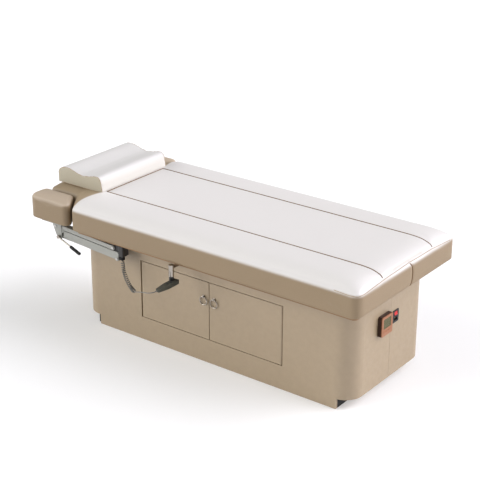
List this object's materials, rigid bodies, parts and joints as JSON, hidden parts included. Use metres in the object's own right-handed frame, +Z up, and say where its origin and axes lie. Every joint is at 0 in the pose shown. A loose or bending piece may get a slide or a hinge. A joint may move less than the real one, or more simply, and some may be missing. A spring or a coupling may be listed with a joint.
{
  "type": "facial treatment bed",
  "caption": "Facial treatment bed: padded top with contour pillow and armrests on a lifting cabinet with storage doors, handset, thermostat and mains inlet.",
  "frame": {"origin": "centre of the cabinet at floor level, on the sole of the middle levelling foot", "axes": "+X towards the foot end, -Y is the long side with the doors and the handset, +Z up"},
  "size_m": [1.833, 0.956, 0.7243],
  "materials": {
    "upholstery": "satin leatherette (coated fabric) over foam",
    "pillow_cover": "satin leatherette (coated fabric) over foam",
    "laminate": "beige laminate, satin",
    "carcass": "satin",
    "plywood": "raw",
    "plinth_black": "matte",
    "rubber": "matte",
    "cord_grey": "satin",
    "pins": "satin",
    "chrome": "polished",
    "thermostat_brown": "matte",
    "thermostat_copper": "satin metallic",
    "lcd": "gloss",
    "inlet_black": "matte",
    "pin_brass": "polished",
    "rocker_red": "gloss",
    "column_aluminium": "anodised",
    "control_grey": "matte",
    "frame_steel": "powder coat",
    "heating_fabric": "woven",
    "arm_grey": "powder coat",
    "black_steel": "powder coat",
    "handset_grey": "matte",
    "handset_keys": "matte"
  },
  "bodies": {
    "cabinet": {"levelling_feet": "rubber", "plinth_frame": "plinth_black", "plinth_boards": "laminate", "cabinet_floor": "carcass", "cabinet_shell_front": "laminate", "cabinet_shell_back": "laminate", "cabinet_top": "carcass", "storage_partitions": "carcass", "storage_shelf": "carcass", "door_pivot_pins": "pins", "thermostat_case": "thermostat_brown", "thermostat_frame": "thermostat_copper", "thermostat_display": "lcd", "inlet_body": "inlet_black", "inlet_pins": "pin_brass", "columns_outer": "column_aluminium", "control_box": "control_grey"},
    "door_left": {"door_left": "laminate", "pull_boss_left": "chrome"},
    "door_right": {"door_right": "laminate", "pull_boss_right": "chrome"},
    "ring_left": {"pull_ring_left": "chrome"},
    "ring_right": {"pull_ring_right": "chrome"},
    "key_1": {"thermostat_button_1": "thermostat_copper"},
    "key_2": {"thermostat_button_2": "thermostat_copper"},
    "key_3": {"thermostat_button_3": "thermostat_copper"},
    "rocker": {"inlet_rocker": "rocker_red"},
    "column_middle": {"columns_middle": "column_aluminium"},
    "top": {"columns_inner": "column_aluminium", "frame_rails": "frame_steel", "frame_crossbars": "frame_steel", "deck_board": "plywood", "heating_mat": "heating_fabric", "mattress": "upholstery", "armrest_mount_left": "black_steel", "armrest_mount_right": "black_steel", "armrest_mount_pins": "pins", "strain_relief": "rubber", "cord_coil": "cord_grey", "cord_tail": "cord_grey", "handset_body": "handset_grey", "handset_clip": "black_steel", "handset_bracket": "chrome"},
    "handset_up": {"handset_button_up": "handset_keys"},
    "handset_down": {"handset_button_down": "handset_keys"},
    "pillow": {"pillow": "pillow_cover"},
    "arm_upper_left": {"armrest_upper_link_left": "arm_grey"},
    "arm_lower_left": {"armrest_lower_link_left": "arm_grey"},
    "armrest_left": {"armrest_bracket_left": "arm_grey", "armrest_bracket_pins_left": "pins", "armrest_pad_left": "upholstery"},
    "lever_left": {"clamp_lever_left": "chrome", "clamp_grip_left": "rubber"},
    "arm_upper_right": {"armrest_upper_link_right": "arm_grey"},
    "arm_lower_right": {"armrest_lower_link_right": "arm_grey"},
    "armrest_right": {"armrest_bracket_right": "arm_grey", "armrest_bracket_pins_right": "pins", "armrest_pad_right": "upholstery"},
    "lever_right": {"clamp_lever_right": "chrome", "clamp_grip_right": "rubber"}
  },
  "joints": [
    {"name": "door_left", "type": "hinge", "parent": "cabinet", "child": "door_left", "pos_m": [-0.3835, -0.29, 0.26], "axis": [0, 0, -1], "range_deg": [0, 43]},
    {"name": "door_right", "type": "hinge", "parent": "cabinet", "child": "door_right", "pos_m": [0.3935, -0.29, 0.26], "axis": [0, 0, 1], "range_deg": [0, 105]},
    {"name": "ring_left", "type": "hinge", "parent": "door_left", "child": "ring_left", "pos_m": [-0.024, -0.3044, 0.327], "axis": [-1, 0, 0], "range_deg": [0, 80]},
    {"name": "ring_right", "type": "hinge", "parent": "door_right", "child": "ring_right", "pos_m": [0.034, -0.3044, 0.327], "axis": [-1, 0, 0], "range_deg": [0, 80]},
    {"name": "key_1", "type": "slide", "parent": "cabinet", "child": "key_1", "axis": [-1, 0, 0], "range_m": [0, 0.0008], "stiffness_N_per_m": 200, "springref_m": -0.001},
    {"name": "key_2", "type": "slide", "parent": "cabinet", "child": "key_2", "axis": [-1, 0, 0], "range_m": [0, 0.0008], "stiffness_N_per_m": 200, "springref_m": -0.001},
    {"name": "key_3", "type": "slide", "parent": "cabinet", "child": "key_3", "axis": [-1, 0, 0], "range_m": [0, 0.0008], "stiffness_N_per_m": 200, "springref_m": -0.001},
    {"name": "rocker", "type": "hinge", "parent": "cabinet", "child": "rocker", "pos_m": [0.758, 0.036, 0.346], "axis": [0, 1, 0], "range_deg": [0, 20]},
    {"name": "top_lift", "type": "slide", "parent": "cabinet", "child": "top", "axis": [0, 0, 1], "range_m": [0, 0.25]},
    {"name": "column_middle", "type": "slide", "parent": "cabinet", "child": "column_middle", "axis": [0, 0, 1], "range_m": [0, 0.125]},
    {"name": "handset_up", "type": "slide", "parent": "top", "child": "handset_up", "axis": [0, 0, -1], "range_m": [0, 0.0012], "stiffness_N_per_m": 200, "springref_m": -0.001},
    {"name": "handset_down", "type": "slide", "parent": "top", "child": "handset_down", "axis": [0, 0, -1], "range_m": [0, 0.0012], "stiffness_N_per_m": 200, "springref_m": -0.001},
    {"name": "pillow_lift", "type": "slide", "parent": "top", "child": "pillow", "axis": [0, 0, 1], "range_m": [0, 0.15]},
    {"name": "arm_upper_left", "type": "hinge", "parent": "top", "child": "arm_upper_left", "pos_m": [-0.505, -0.348, 0.457], "axis": [0, -1, 0], "range_deg": [0, 13]},
    {"name": "arm_lower_left", "type": "hinge", "parent": "top", "child": "arm_lower_left", "pos_m": [-0.481, -0.348, 0.409], "axis": [0, -1, 0], "range_deg": [0, 13]},
    {"name": "armrest_left", "type": "hinge", "parent": "arm_upper_left", "child": "armrest_left", "pos_m": [-0.863, -0.348, 0.48], "axis": [0, -1, 0], "range_deg": [-13, 0]},
    {"name": "lever_left", "type": "hinge", "parent": "armrest_left", "child": "lever_left", "pos_m": [-0.839, -0.376, 0.432], "axis": [0, 1, 0], "range_deg": [0, 50]},
    {"name": "arm_upper_right", "type": "hinge", "parent": "top", "child": "arm_upper_right", "pos_m": [-0.505, 0.348, 0.457], "axis": [0, -1, 0], "range_deg": [0, 13]},
    {"name": "arm_lower_right", "type": "hinge", "parent": "top", "child": "arm_lower_right", "pos_m": [-0.481, 0.348, 0.409], "axis": [0, -1, 0], "range_deg": [0, 13]},
    {"name": "armrest_right", "type": "hinge", "parent": "arm_upper_right", "child": "armrest_right", "pos_m": [-0.863, 0.348, 0.48], "axis": [0, -1, 0], "range_deg": [-13, 0]},
    {"name": "lever_right", "type": "hinge", "parent": "armrest_right", "child": "lever_right", "pos_m": [-0.839, 0.376, 0.432], "axis": [0, 1, 0], "range_deg": [0, 50]}
  ],
  "couplings": [
    {"joint": "column_middle", "follows": "top_lift", "ratio": 0.5},
    {"joint": "arm_lower_left", "follows": "arm_upper_left", "ratio": 1},
    {"joint": "armrest_left", "follows": "arm_upper_left", "ratio": -1},
    {"joint": "arm_lower_right", "follows": "arm_upper_right", "ratio": 1},
    {"joint": "armrest_right", "follows": "arm_upper_right", "ratio": -1}
  ]
}
